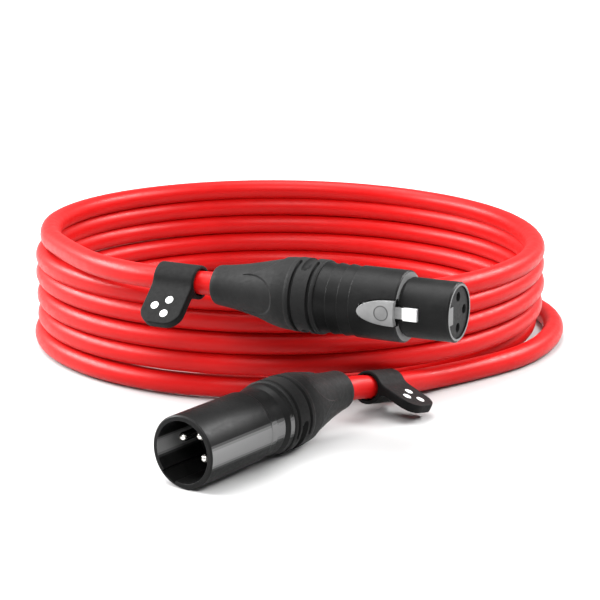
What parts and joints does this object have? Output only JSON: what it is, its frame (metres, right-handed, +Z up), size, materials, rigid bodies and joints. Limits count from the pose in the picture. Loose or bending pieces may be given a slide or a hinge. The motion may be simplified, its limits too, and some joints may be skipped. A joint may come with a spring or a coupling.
{
  "type": "xlr cable coil",
  "caption": "Coiled balanced microphone cable with a latching female connector, a male connector and a moulded tag on each lead.",
  "frame": {"origin": "middle of the bounding box, on the table surface", "axes": "+Z up, +Y from the connectors towards the back of the coil, +X to the right as seen from the connectors"},
  "size_m": [0.168, 0.2388, 0.0482],
  "materials": {
    "cable_jacket": "matt red flexible jacket",
    "boot_rubber": "matt dark grey moulded rubber",
    "shell_black": "satin black chromed zinc",
    "insert_plastic": "matt dark insulator",
    "contact_silver": "bright silver plating",
    "latch_metal": "satin cast metal",
    "chuck_plastic": "natural nylon",
    "bushing_plastic": "black glass-filled nylon",
    "tag_rubber": "matt black silicone, fine grain",
    "core_insulation": "thin core insulation"
  },
  "bodies": {
    "cable": {"cable_coil": "cable_jacket", "female_cable_end": "cable_jacket", "female_chuck": "chuck_plastic", "female_conductors": "core_insulation", "female_contact_1": "contact_silver", "female_contact_2": "contact_silver", "female_contact_3": "contact_silver", "female_insert": "insert_plastic", "female_latch_pin": "latch_metal", "female_latch_spring": "latch_metal", "female_lead": "cable_jacket", "female_shell": "shell_black", "male_cable_end": "cable_jacket", "male_chuck": "chuck_plastic", "male_conductors": "core_insulation", "male_insert": "insert_plastic", "male_lead": "cable_jacket", "male_pin_1": "contact_silver", "male_pin_2": "contact_silver", "male_pin_3": "contact_silver", "male_shell": "shell_black"},
    "female_latch_body": {"female_latch": "latch_metal"},
    "female_tag_body": {"female_tag": "tag_rubber"},
    "male_tag_body": {"male_tag": "tag_rubber"},
    "female_boot_body": {"female_boot": "boot_rubber", "female_bushing": "bushing_plastic"},
    "male_boot_body": {"male_boot": "boot_rubber", "male_bushing": "bushing_plastic"}
  },
  "joints": [
    {"name": "female_latch_press", "type": "hinge", "parent": "cable", "child": "female_latch_body", "pos_m": [0.0159, -0.08225, 0.0382], "axis": [0, 0, 1], "range_deg": [0, 4], "stiffness_Nm_per_rad": 0.05, "springref_deg": -1.72},
    {"name": "female_tag_swivel", "type": "hinge", "parent": "cable", "child": "female_tag_body", "pos_m": [-0.03316, -0.04891, 0.03819], "axis": [-0.8751, 0.4839, -0.0032], "range_deg": [-40, 100]},
    {"name": "male_tag_swivel", "type": "hinge", "parent": "cable", "child": "male_tag_body", "pos_m": [0.02158, -0.04573, 0.00703], "axis": [-0.5922, -0.7875, 0.1706], "range_deg": [-2, 45]},
    {"name": "female_boot_turn", "type": "hinge", "parent": "cable", "child": "female_boot_body", "pos_m": [-0.00014, -0.06552, 0.0382], "axis": [-0.8957, 0.4446, 0], "range_deg": [0, 720]},
    {"name": "male_boot_turn", "type": "hinge", "parent": "cable", "child": "male_boot_body", "pos_m": [-0.00517, -0.08058, 0.01007], "axis": [0.5976, 0.8017, 0.0105], "range_deg": [0, 720]}
  ]
}
